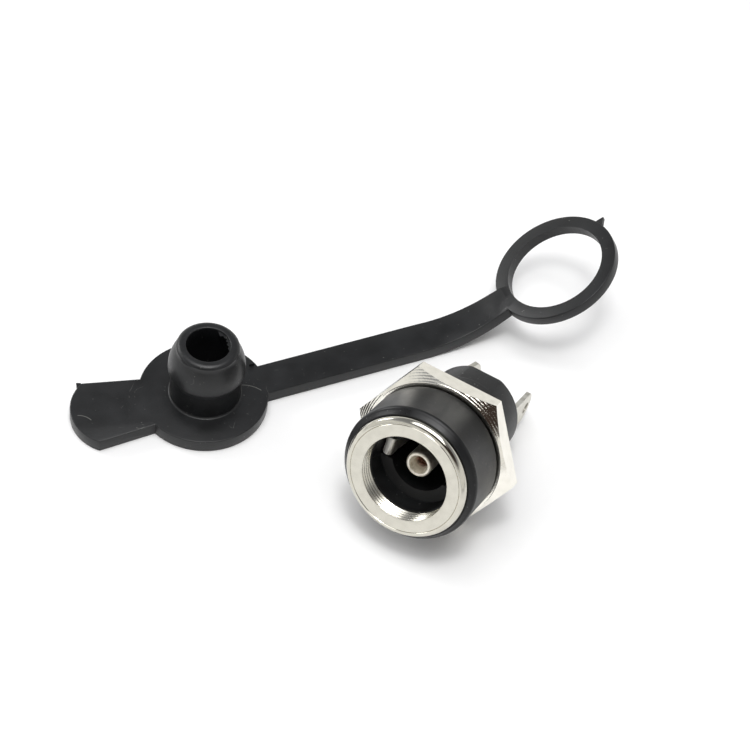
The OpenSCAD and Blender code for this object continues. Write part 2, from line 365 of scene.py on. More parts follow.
def colour_ramp(tree: Tree, source: Socket, stops: list) -> Socket:
    """Maps a value to colours or greys.

    Args:
        tree: the node tree.
        source: the value.
        stops: (position, hex colour) pairs.

    Returns:
        The ramp's colour.
    """
    made = add_node(tree, "ShaderNodeValToRGB", {"Fac": source})
    ramp = made.color_ramp
    while len(ramp.elements) < len(stops):
        ramp.elements.new(0.5)
    for element, (position, colour) in zip(ramp.elements, stops):
        element.position = position
        element.color = linear(colour)
    return made.outputs["Color"]


def start_material(name: str) -> tuple:
    """A new material with only a shader and its output.

    Args:
        name: the material's name.

    Returns:
        The material, its tree and its shader node.
    """
    material = bpy.data.materials.new(name)
    material.use_nodes = True
    tree = material.node_tree
    tree.nodes.clear()
    shader = add_node(tree, "ShaderNodeBsdfPrincipled")
    add_node(tree, "ShaderNodeOutputMaterial", {"Surface": shader.outputs["BSDF"]})
    return material, tree, shader


def own_place(tree: Tree, place: Matrix) -> Socket:
    """Object coordinates turned into a sub-assembly's own frame, in millimetres.

    Args:
        tree: the node tree.
        place: the sub-assembly's place in the shared frame.

    Returns:
        The coordinates.
    """
    spot, turn, scale = place.inverted().decompose()
    coords = add_node(tree, "ShaderNodeTexCoord")
    mapped = add_node(tree, "ShaderNodeMapping", {"Vector": coords.outputs["Object"]}, vector_type="POINT")
    mapped.inputs["Location"].default_value = spot
    mapped.inputs["Rotation"].default_value = turn.to_euler()
    mapped.inputs["Scale"].default_value = scale
    return mapped.outputs["Vector"]


def noise(tree: Tree, where: Socket, size: float, detail: float = 2.0) -> Socket:
    """Cloudy pattern whose patches are about size millimetres across."""
    made = add_node(tree, "ShaderNodeTexNoise", {"Vector": where, "Scale": 1 / size, "Detail": detail})
    return made.outputs["Fac"]


def maths(tree: Tree, operation: str, *terms: object) -> Socket:
    """One step of arithmetic on sockets and numbers."""
    made = add_node(tree, "ShaderNodeMath", dict(enumerate(terms)), operation=operation)
    return made.outputs[0]


def split(tree: Tree, where: Socket) -> bpy.types.NodeOutputs:
    """Coordinates as three sockets, X, Y and Z."""
    return add_node(tree, "ShaderNodeSeparateXYZ", {"Vector": where}).outputs


def axis_distance(tree: Tree, where: Socket, x: float = 0.0, y: float = 0.0) -> Socket:
    """Distance from a line that runs along the own z axis.

    Args:
        tree: the node tree.
        where: coordinates in the own frame.
        x, y: place of the line.

    Returns:
        The distance in millimetres.
    """
    parts = split(tree, where)
    dx = maths(tree, "SUBTRACT", parts["X"], x)
    dy = maths(tree, "SUBTRACT", parts["Y"], y)
    square = maths(tree, "ADD", maths(tree, "MULTIPLY", dx, dx), maths(tree, "MULTIPLY", dy, dy))
    return maths(tree, "SQRT", square)


def blend(tree: Tree, share: Socket, under: object, over: object) -> Socket:
    """Lays one colour over another by a share."""
    made = add_node(tree, "ShaderNodeMix", {0: share, 6: under, 7: over}, data_type="RGBA")
    return made.outputs[2]


def dress(tree: Tree, shader: Node, colour: Socket, rough: Socket, relief: tuple) -> None:
    """Gives a shader its colour, its roughness and its bumps.

    Args:
        tree: the node tree.
        shader: the shader node.
        colour: its base colour.
        rough: its roughness.
        relief: the bumps' pattern, their strength and their depth in millimetres.
    """
    height, strength, depth = relief
    bumps = {"Strength": strength, "Distance": depth * MM, "Height": height}
    normal = add_node(tree, "ShaderNodeBump", bumps).outputs["Normal"]
    for name, source in (("Base Color", colour), ("Roughness", rough), ("Normal", normal)):
        tree.links.new(source, shader.inputs[name])


@dataclass(frozen=True)
class Finish:
    """A procedural material, patterned in the jack's or the cap's own frame."""

    name: str
    place: Matrix

    def build(self) -> Material:
        """Makes the material.

        Returns:
            The material.
        """
        material, tree, shader = start_material(self.name)
        self.paint(tree, shader, own_place(tree, self.place))
        return material

    def paint(self, tree: Tree, shader: Node, where: Socket) -> None:
        """Gives the shader its looks.

        Args:
            tree: the node tree.
            shader: the shader node.
            where: coordinates in the own frame, in millimetres.
        """
        raise NotImplementedError


@dataclass(frozen=True)
class TurnedNickel(Finish):
    """Nickel-plated brass, turned on a lathe: bright and slightly warm, with
    fine rings round the axis that stretch each reflection across them."""

    base: str = "#CFCCC1"
    low: str = "#C5C2B7"
    roughness: float = 0.12
    # the lathe tool's feed is about 0.08 mm; the rings are drawn at 0.2 mm to show
    feed: float = 0.2
    relief: float = 0.12
    # rings stop where the depth less the rise of a 30 degree chamfer passes this
    turned_to: float = 1000.0
    rise: float = 0.577
    # walls nearer the axis than this are bored, and duller by so much
    bore_r: float = 4.3
    bore_dull: float = 0.14

    def paint(self, tree: Tree, shader: Node, where: Socket) -> None:
        """Rings round the axis, an uneven polish and a duller bore.

        Args:
            tree, shader, where: as in Finish.
        """
        radius = axis_distance(tree, where)
        depth = split(tree, where)["Z"]
        # on a wall the radius is steady, so the rings there follow the depth
        along = maths(tree, "ADD", radius, depth)
        wander = maths(tree, "MULTIPLY", noise(tree, where, 3.0), 0.15)
        phase = maths(tree, "MULTIPLY", maths(tree, "ADD", along, wander), math.tau / self.feed)
        slope = maths(tree, "MULTIPLY_ADD", radius, -self.rise, depth)
        turned = maths(tree, "LESS_THAN", slope, self.turned_to)
        groove = maths(tree, "MULTIPLY", maths(tree, "SINE", phase), turned)
        uneven = noise(tree, where, 0.9, 3.0)
        grain = noise(tree, where, 0.12)
        tint = colour_ramp(tree, uneven, [(0.3, self.low), (0.62, self.base)])
        shader.inputs["Metallic"].default_value = 1.0
        bored = maths(tree, "LESS_THAN", radius, self.bore_r)
        polish = maths(tree, "MULTIPLY_ADD", uneven, 0.06, self.roughness - 0.03)
        rough = maths(tree, "MULTIPLY_ADD", bored, self.bore_dull, polish)
        height = maths(tree, "MULTIPLY_ADD", groove, 0.5, grain)
        dress(tree, shader, tint, rough, (height, self.relief, 0.02))


@dataclass(frozen=True)
class StampedTin(Finish):
    """Tin-plated phosphor bronze strip, stamped and bent: soft silver glow
    with faint rolling streaks, a dull bloom, and a painted highlight on the folded noses."""

    base: str = "#D9D7CF"
    low: str = "#C8C5BB"
    roughness: float = 0.44
    # painted highlight: the folded noses are coloured near white as far back as this, where they lie this
    # far off the axis
    bright: str = "#FFFEF8"
    highlight_to: float = 5.2
    highlight_x: float = 3.2

    def paint(self, tree: Tree, shader: Node, where: Socket) -> None:
        """Rolling streaks, a dull bloom and a painted highlight on the noses.

        Args:
            tree, shader, where: as in Finish.
        """
        stretched = add_node(tree, "ShaderNodeMapping", {"Vector": where, "Scale": (1.0, 8.0, 0.6)})
        streak = noise(tree, stretched.outputs["Vector"], 0.5, 3.0)
        bloom = noise(tree, where, 0.7)
        tint = colour_ramp(tree, bloom, [(0.3, self.low), (0.6, self.base)])
        parts = split(tree, where)
        outer = maths(tree, "GREATER_THAN", maths(tree, "ABSOLUTE", parts["X"]), self.highlight_x)
        nose = maths(tree, "MULTIPLY", maths(tree, "LESS_THAN", parts["Z"], self.highlight_to), outer)
        # painted highlight on the noses: near white, and scattering light more than mirroring it, so they
        # look lit deep in the mouth where little light reaches
        tree.links.new(maths(tree, "MULTIPLY_ADD", nose, -0.9, 1.0), shader.inputs["Metallic"])
        rough = maths(tree, "MULTIPLY_ADD", bloom, 0.2, self.roughness - 0.08)
        dress(tree, shader, blend(tree, nose, tint, linear(self.bright)), rough, (streak, 0.2, 0.02))


@dataclass(frozen=True)
class PlatedPin(Finish):
    """Nickel-plated brass pin, whose drilled hole shows the bare brown brass."""

    plate: str = "#FBF6EA"
    low: str = "#DED8C6"
    bare: tuple[str, str, str] = ("#7A5A48", "#B08570", "#D9B5A2")
    hole_r: float = 0.93
    # depths between which the hole shows bare brass
    plate_to: float = 3.8
    bare_to: float = 12.0
    roughness: float = 0.4

    def paint(self, tree: Tree, shader: Node, where: Socket) -> None:
        """Mottled plate, and bare brass down the hole.

        Args:
            tree, shader, where: as in Finish.
        """
        inside = maths(tree, "LESS_THAN", axis_distance(tree, where), self.hole_r)
        depth = split(tree, where)["Z"]
        sunk = add_node(tree, "ShaderNodeMapRange", {0: depth, 1: self.plate_to, 2: self.plate_to + 0.8})
        ahead = maths(tree, "LESS_THAN", depth, self.bare_to)
        bared = maths(tree, "MULTIPLY", maths(tree, "MULTIPLY", inside, ahead), sunk.outputs[0])
        mottle = noise(tree, where, 0.35, 3.0)
        outer = colour_ramp(tree, mottle, [(0.3, self.low), (0.6, self.plate)])
        inner = colour_ramp(tree, mottle, list(zip((0.35, 0.5, 0.65), self.bare)))
        shader.inputs["Metallic"].default_value = 0.75
        worn = maths(tree, "MULTIPLY_ADD", mottle, 0.2, self.roughness - 0.06)
        rough = maths(tree, "MULTIPLY_ADD", inside, 0.2, worn)
        dress(tree, shader, blend(tree, bared, outer, inner), rough, (mottle, 0.3, 0.03))


@dataclass(frozen=True)
class BlackMoulding(Finish):
    """Black glass-filled nylon, injection moulded: nearly black with a soft
    sheen, a fine grain, and pale specks of dust and scuffs."""

    base: str = "#101011"
    worn: str = "#191A1B"
    speck: str = "#8A8A88"
    index: float = 1.36
    roughness: float = 0.3
    # the flange is polished as far back as this, and the rest is duller by so much
    gloss_to: float = 1.47
    matt: float = 0.12

    def paint(self, tree: Tree, shader: Node, where: Socket) -> None:
        """Clouds, dust and grain, duller behind the flange.

        Args:
            tree, shader, where: as in Finish.
        """
        cloud = noise(tree, where, 1.6, 4.0)
        grain = noise(tree, where, 0.09)
        body = colour_ramp(tree, cloud, [(0.35, self.base), (0.7, self.worn)])
        dust = colour_ramp(tree, noise(tree, where, 0.16, 0.0), [(0.81, "#000000"), (0.87, "#B8B8B8")])
        shader.inputs["IOR"].default_value = self.index
        behind = maths(tree, "GREATER_THAN", split(tree, where)["Z"], self.gloss_to)
        sheen = maths(tree, "MULTIPLY_ADD", cloud, 0.2, self.roughness - 0.1)
        rough = maths(tree, "MULTIPLY_ADD", behind, self.matt, sheen)
        dress(tree, shader, blend(tree, dust, body, linear(self.speck)), rough, (grain, 0.35, 0.03))


@dataclass(frozen=True)
class BlackRubber(Finish):
    """Black soft vinyl rubber, compression moulded: dark grey satin with
    clouded sheen, lint specks, hair-fine pale scuffs, a scratched line, and a
    pale line by the plug that is a painted highlight of a thin raised flash line."""

    base: str = "#0E0F10"
    worn: str = "#151618"
    # pale colour of lint, scuffs and the scratched line, and of the painted highlight line by the plug
    speck: str = "#83837F"
    index: float = 1.45
    roughness: float = 0.36
    # two curved pale lines: centre and radius of each, and where it starts in x and y; the first, by the
    # plug, is a painted highlight standing in for a thin raised flash line, the second a scratched line
    scratch_and_highlight_curves: tuple = ((2.89, -3.14, 2.81, 3.75, -1.7), (-12.71, -0.45, 1.54, -12.3, 0.1))
    curve_w: float = 0.07

    def paint(self, tree: Tree, shader: Node, where: Socket) -> None:
        """Clouds, lint, scuffs, a scratched line and a painted highlight line.

        Args:
            tree, shader, where: as in Finish.
        """
        cloud = noise(tree, where, 2.4, 4.0)
        grain = noise(tree, where, 0.14, 3.0)
        body = colour_ramp(tree, cloud, [(0.35, self.base), (0.7, self.worn)])
        lint = colour_ramp(tree, noise(tree, where, 0.2, 0.0), [(0.83, "#000000"), (0.88, "#C0C0C0")])
        # scuffs are thin crests of a slow warped pattern
        slow = noise(tree, where, 3.5, 1.0)
        crest = maths(tree, "ABSOLUTE", maths(tree, "SUBTRACT", slow, 0.63))
        thin = maths(tree, "LESS_THAN", crest, 0.0016)
        broken = maths(tree, "GREATER_THAN", noise(tree, where, 0.9), 0.59)
        scuff = maths(tree, "MULTIPLY", maths(tree, "MULTIPLY", thin, broken), 0.25)
        marks = maths(tree, "MAXIMUM", lint, scuff)
        parts = split(tree, where)
        # pale curves: the one by the plug is a painted highlight of a flash line, the other a scratched
        # line
        for cx, cy, radius, start, front in self.scratch_and_highlight_curves:
            off = maths(tree, "SUBTRACT", axis_distance(tree, where, cx, cy), radius)
            line = maths(tree, "LESS_THAN", maths(tree, "ABSOLUTE", off), self.curve_w / 2)
            past = maths(tree, "GREATER_THAN", parts["X"], start)
            span = maths(tree, "MULTIPLY", past, maths(tree, "GREATER_THAN", parts["Y"], front))
            pale_curve = maths(tree, "MULTIPLY", maths(tree, "MULTIPLY", line, span), 0.5)
            marks = maths(tree, "MAXIMUM", marks, pale_curve)
        shader.inputs["IOR"].default_value = self.index
        rough = maths(tree, "MULTIPLY_ADD", cloud, 0.25, self.roughness - 0.12)
        dress(tree, shader, blend(tree, marks, body, linear(self.speck)), rough, (grain, 0.3, 0.04))


# -------- the jack


@dataclass
class Piece:
    """A visible piece, with its place in the shared frame and its finish."""

    place: Matrix
    finish: Material

    def settle(self, piece: Object, slot: str, nodes: tuple = (), angle: float = 30) -> None:
        """Puts a finished object, drawn in millimetres, in its place and dresses it.

        Args:
            piece: the object.
            slot: the record's material slot; not used.
            nodes: the solids that it stands for.
            angle: edges sharper than this stay crisp, in degrees.
        """
        piece.matrix_world = self.place @ piece.matrix_world
        bake(piece)
        bpy.ops.object.shade_smooth_by_angle(angle=math.radians(angle))
        piece.data.materials.clear()
        piece.data.materials.append(self.finish)
        if nodes:
            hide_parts(*nodes)
        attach(piece, BODY)
        LOG.info("%s: %d faces", piece.name, len(piece.data.polygons))


@dataclass
class FaceRing(Piece):
    """Turned metal ring round the mouth."""

    outer_r: float = 5.9
    bore_r: float = 4.13
    depth: float = 1.7
    edge: float = 0.5
    lip: float = 0.08
    grooves: int = 4
    groove_from: float = 0.14
    groove_pitch: float = 0.38
    groove_depth: float = 0.11
    line_depth: float = 0.05

    def build(self) -> None:
        """Turns the ring, with a full round at its rim and tool grooves down its bore."""
        bore, pitch, face_r = self.bore_r, self.groove_pitch, self.outer_r - self.edge
        grooves = []
        for i in reversed(range(self.grooves)):
            start = self.groove_from + pitch * i
            grooves += [(bore, start + pitch * 0.9), (bore, start + pitch * 0.7)]
            grooves += [(bore + self.groove_depth, start + pitch * 0.35)]
        profile = (
            [(bore, self.depth)]
            + grooves
            + arc(bore + self.lip, self.lip, self.lip, 180, 270, 5)
            + [(face_r - 0.1, 0), (face_r - 0.06, self.line_depth), (face_r - 0.02, 0)]
            + arc(face_r, self.edge, self.edge, -88, 0, 12)
            + [(self.outer_r, self.depth)]
        )
        ring = lathe("face_ring_turned", profile)
        self.settle(ring, "plated_metal", ("face_ring",))


@dataclass
class Housing(Piece):
    """Black moulding of head, barrel and rear end, with its thread."""

    flange_r: float = 6.55
    band_r: float = 6.52
    head_len: float = 5.95
    ring_r: float = 5.92
    ring_depth: float = 1.7
    lip_depth: float = 0.62
    lip_w: float = 0.14
    flange_depth: float = 1.4
    ledge_depth: float = 3.63
    plug_r: float = 2.85
    mouth_r: float = 4.13
    core_r: float = 4.56
    thread_r: float = 5.0
    pitch: float = 0.75
    thread_end: float = 12.9
    thread_flats: float = 9.3
    rear_r: float = 4.58
    rear_flats: float = 8.54
    body_len: float = 15.75
    floor: float = 13.2
    leaf_w: float = 1.8
    leaf_t: float = 0.45
    lug_offset: float = 3.45
    slot_outer: float = 3.94
    shank_hole_r: float = 0.71

    def build(self) -> None:
        """Turns the moulding, then cuts its slots and flats and adds the thread."""
        outer = (
            [(self.mouth_r - 0.09, self.ring_depth), (self.ring_r, self.ring_depth)]
            + [(self.ring_r, self.lip_depth), (self.ring_r + self.lip_w, self.lip_depth)]
            + arc(self.flange_r - 0.45, self.flange_depth, 0.45, -62, 0, 9)
            + [(self.band_r, self.flange_depth + 0.06)]
            + rounded(self.band_r, self.head_len, 0.2, 0, 6)
            + [(self.core_r, self.head_len), (self.core_r, self.thread_end)]
            + [(self.rear_r, self.thread_end + 0.3)]
            + rounded(self.rear_r, self.body_len, 0.12, 0, 4)
        )
        inner = [
            (self.shank_hole_r, self.body_len),
            (self.shank_hole_r, self.floor),
            (self.plug_r, self.floor),
            (self.plug_r, self.ledge_depth),
            (self.mouth_r - 0.14, self.ledge_depth),
        ]
        body = lathe("housing_moulded", outer + inner)
        middle, deep = (self.ledge_depth + self.floor) / 2, self.floor - self.ledge_depth
        wall, play = self.body_len - self.floor, 0.02
        slot = (self.slot_outer - 1, self.leaf_w + 0.4, deep + play)
        slit = (self.leaf_t + play, self.leaf_w + play, 2 * wall + 1)
        for side in (-1, 1):
            carve(body, block(slot, (side * (self.slot_outer + 1) / 2, 0, middle)))
            carve(body, block(slit, (side * self.lug_offset, 0, self.body_len)))
        self.flatten(body, self.rear_flats, self.thread_end + 0.15)
        soften(body, 0.04, 2, 50)
        self.settle(body, "black_moulding", ("housing",))
        self.thread()

    def flatten(self, piece: Object, across: float, start: float) -> None:
        """Cuts a pair of flats.

        Args:
            piece: the piece to cut.
            across: its width across them.
            start: the depth where they begin.
        """
        size = (14, 4, 16)
        for side in (-1, 1):
            carve(piece, block(size, (0, side * (across + size[1]) / 2, start + size[2] / 2)))

    def thread(self) -> None:
        """Winds the thread's ridge round the barrel and cuts its flats."""
        start = self.head_len + 0.35
        half, crest = self.pitch / 2, self.pitch / 16
        foot = self.core_r - 0.06
        ridge = [(foot, -half * 0.98), (self.thread_r, -crest), (self.thread_r, crest), (foot, half * 0.98)]
        turns = int((self.thread_end - start) / self.pitch) - 1
        coil = trace("barrel_thread", [(r, 0, start + half + z) for r, z in ridge], closed=True)
        bpy.ops.mesh.edge_face_add()
        bpy.ops.object.mode_set(mode="OBJECT")
        apply(
            coil, "SCREW", angle=math.tau, screw_offset=self.pitch, iterations=turns,
            steps=96, render_steps=96, axis="Z", use_merge_vertices=True,
        )
        bpy.ops.object.mode_set(mode="EDIT")
        mend()
        self.flatten(coil, self.thread_flats, 2)
        self.settle(coil, "black_moulding", (), 25)


@dataclass
class HexNut(Piece):
    """Hex nut with a turned chamfer on the corners that face the head."""

    across: float = 14.0
    front: float = 6.1
    thick: float = 1.9
    face_r: float = 6.78
    bore_r: float = 5.04
    lead: float = 0.3

    def build(self) -> None:
        """Crosses a hexagon bar with a turned envelope, bores it and softens its edges."""
        corner = self.across / math.sqrt(3)
        outer, back = corner + 0.3, self.front + self.thick
        drop = (outer - self.face_r) * math.tan(math.radians(30))
        deselect()
        bpy.ops.mesh.primitive_cylinder_add(
            vertices=6, radius=corner, depth=self.thick,
            location=(0, 0, self.front + self.thick / 2), rotation=(0, 0, math.radians(30)),
        )
        nut = bpy.context.object
        nut.name = "hex_nut_plated"
        bake(nut)
        profile = [
            (self.bore_r + self.lead, self.front),
            (self.face_r, self.front),
            (outer, self.front + drop),
            (outer, back + 1),
            (self.bore_r, back + 1),
            (self.bore_r, self.front + self.lead),
        ]
        envelope = lathe("nut_envelope", profile, steps=192)
        carve(nut, envelope, "INTERSECT")
        mouth = (self.bore_r + 0.35, back + 0.05)
        cone = [(0, back - self.lead), (self.bore_r, back - self.lead), mouth, (0, mouth[1])]
        carve(nut, lathe("nut_sink", cone, False))
        soften(nut, 0.07, 3, 28)
        self.settle(nut, "plated_metal", ("hex_nut",), 20)
        # the flats stay flat up to their softened edges
        apply(nut, "WEIGHTED_NORMAL", keep_sharp=True, weight=80)


@dataclass
class CentrePin(Piece):
    """Hollow turned pin with a rounded lip, peened over its lug."""

    pin_r: float = 1.25
    hole_r: float = 0.65
    tip: float = 3.05
    floor: float = 13.2
    shank_r: float = 0.7
    head: float = 16.2
    lip: float = 0.22
    # depths below the tip to which it is drilled and countersunk
    drilled: float = 7.0
    sunk: float = 0.85

    def build(self) -> None:
        """Turns the pin with its hole."""
        end = self.tip + self.drilled
        profile = (
            [(0, end), (self.hole_r, end - 0.4), (self.hole_r, self.tip + self.sunk)]
            + arc(self.pin_r - self.lip, self.tip + self.lip, self.lip, -125, 0, 12)
            + [(self.pin_r, self.floor), (self.shank_r, self.floor), (self.shank_r, self.head)]
            + [(self.shank_r + 0.35, self.head), (self.shank_r + 0.3, self.head + 0.22)]
            + [(self.shank_r + 0.1, self.head + 0.36), (0, self.head + 0.4)]
        )
        pin = lathe("centre_pin_turned", profile, False, 96)
        self.settle(pin, "plated_brass", ("centre_pin",))


def stand(piece: Object) -> None:
    """Turns a plate so that its own x, y and z run along y, z and x."""
    piece.matrix_world = Matrix(((0, 0, 1, 0), (1, 0, 0, 0), (0, 1, 0, 0), (0, 0, 0, 1)))
    bake(piece)


def blade(name: str, length: float, width: float, thick: float, start: float) -> Object:
    """A flat lug with a round end and a wire hole, drawn along z with its thickness along x.

    Args:
        name: the new piece's name.
        length: from the origin to its end.
        width: along y.
        thick: along x.
        start: where the blade begins, along z.

    Returns:
        The blade.
    """
    end_r = 0.57 * width
    half = width / 2
    lean = math.degrees(math.asin(half / end_r))
    tip = [(y, length - end_r + x) for x, y in arc(0, 0, end_r, -lean, lean, 14)]
    outline = [(-half, start)] + tip + [(half, start)]
    piece = slab(name, outline, thick, -thick / 2)
    stand(piece)
    carve(piece, rod(LUG_HOLE_R, 4 * thick, (0, 0, length - LUG_HOLE_END), True))
    return piece


@dataclass
class PinLug(Piece):
    """Lug of the centre pin: a foot on the rear face and a tail bent rearward."""

    width: float = 2.4
    length: float = 5.0
    thick: float = 0.45
    body_len: float = 15.75
    tail_y: float = 1.45
    fold_r: float = 0.6
    foot: float = 1.3
    shank_hole_r: float = 0.71

    def build(self) -> None:
        """Bends a strip round its fold, joins the tail and drills the foot."""
        half_t = self.thick / 2
        fold_y = self.tail_y + half_t - self.fold_r
        outside = [(-self.foot, 0.0)] + arc(fold_y, self.fold_r, self.fold_r, -90, 0, 8)
        inside = arc(fold_y, self.fold_r, self.fold_r - self.thick, 0, -90, 8) + [(-self.foot, self.thick)]
        top = self.fold_r + 0.6
        run = outside + [(self.tail_y + half_t, top), (self.tail_y - half_t, top)] + inside
        foot = slab("pin_lug_bent", run, self.width, -self.width / 2)
        stand(foot)
        tail = blade("pin_lug_tail", self.length, self.width, self.thick, self.fold_r + 0.3)
        tail.matrix_world = Matrix.Translation((0, self.tail_y, 0)) @ Matrix.Rotation(math.pi / 2, 4, "Z")
        bake(tail)
        carve(foot, tail, "UNION")
        carve(foot, rod(self.shank_hole_r, 3, (0, 0, 0)))
        soften(foot, 0.05, 2, 40)
        foot.matrix_world = Matrix.Translation((0, 0, self.body_len))
        self.settle(foot, "plated_brass", ("pin_lug",))


class Side(Enum):
    """The two side contacts: which side, length and lean of the lug, and node."""

    SWITCH = (1, 5.75, 0.0, "switch_contact")
    SLEEVE = (-1, 6.45, 9.4, "sleeve_contact")


@dataclass
class SideContact(Piece):
    """Spring leaf in one piece with its solder lug."""

    side: Side
    thick: float = 0.45
    width: float = 1.8
    lug_w: float = 3.3
    offset: float = 3.45
    body_len: float = 15.75
    nose_r: float = 0.5
    nose_x: float = 3.34
    nose_depth: float = 3.5
    grip_x: float = 2.6
    # depths of the leaf's bends, from its root to its nose
    bends: tuple[float, float, float] = (12.2, 8.2, 5.2)

    def build(self) -> None:
        """Draws the leaf's edge line, gives it its width and joins its lug."""
        hand, lug_len, lean, node = self.side.value
        half = self.thick / 2
        fold_z = self.nose_depth + self.nose_r
        inner = self.nose_x - self.nose_r
        spread = (self.offset, self.grip_x + half, inner + half)
        line = [(self.offset, self.body_len + 0.2), *zip(spread, self.bends), (inner + half, fold_z)]
        line += arc(self.nose_x, fold_z, self.nose_r - half, 180, 360, 10)[1:]
        line += [(self.nose_x + self.nose_r - half, fold_z + 0.5)]
        leaf = trace(f"{node}_stamped", [(x, -self.width / 2, z) for x, z in line])
        bpy.ops.mesh.extrude_region_move(TRANSFORM_OT_translate={"value": (0, self.width, 0)})
        mend()
        apply(leaf, "SOLIDIFY", thickness=self.thick, offset=0, use_even_offset=True)
        lug = blade("lug", lug_len, self.lug_w, self.thick, 0.0)
        root = self.body_len + half * math.sin(math.radians(lean))
        turn = Matrix.Rotation(math.radians(-lean), 4, "Y")
        lug.matrix_world = Matrix.Translation((self.offset, 0, root)) @ turn
        bake(lug)
        carve(leaf, lug, "UNION")
        soften(leaf, 0.04, 2, 40)
        if hand < 0:
            leaf.scale = (-1, 1, 1)
            bake(leaf)
            bpy.ops.object.mode_set(mode="EDIT")
            mend()
        self.settle(leaf, "plated_metal", (node,))


# -------- the cap


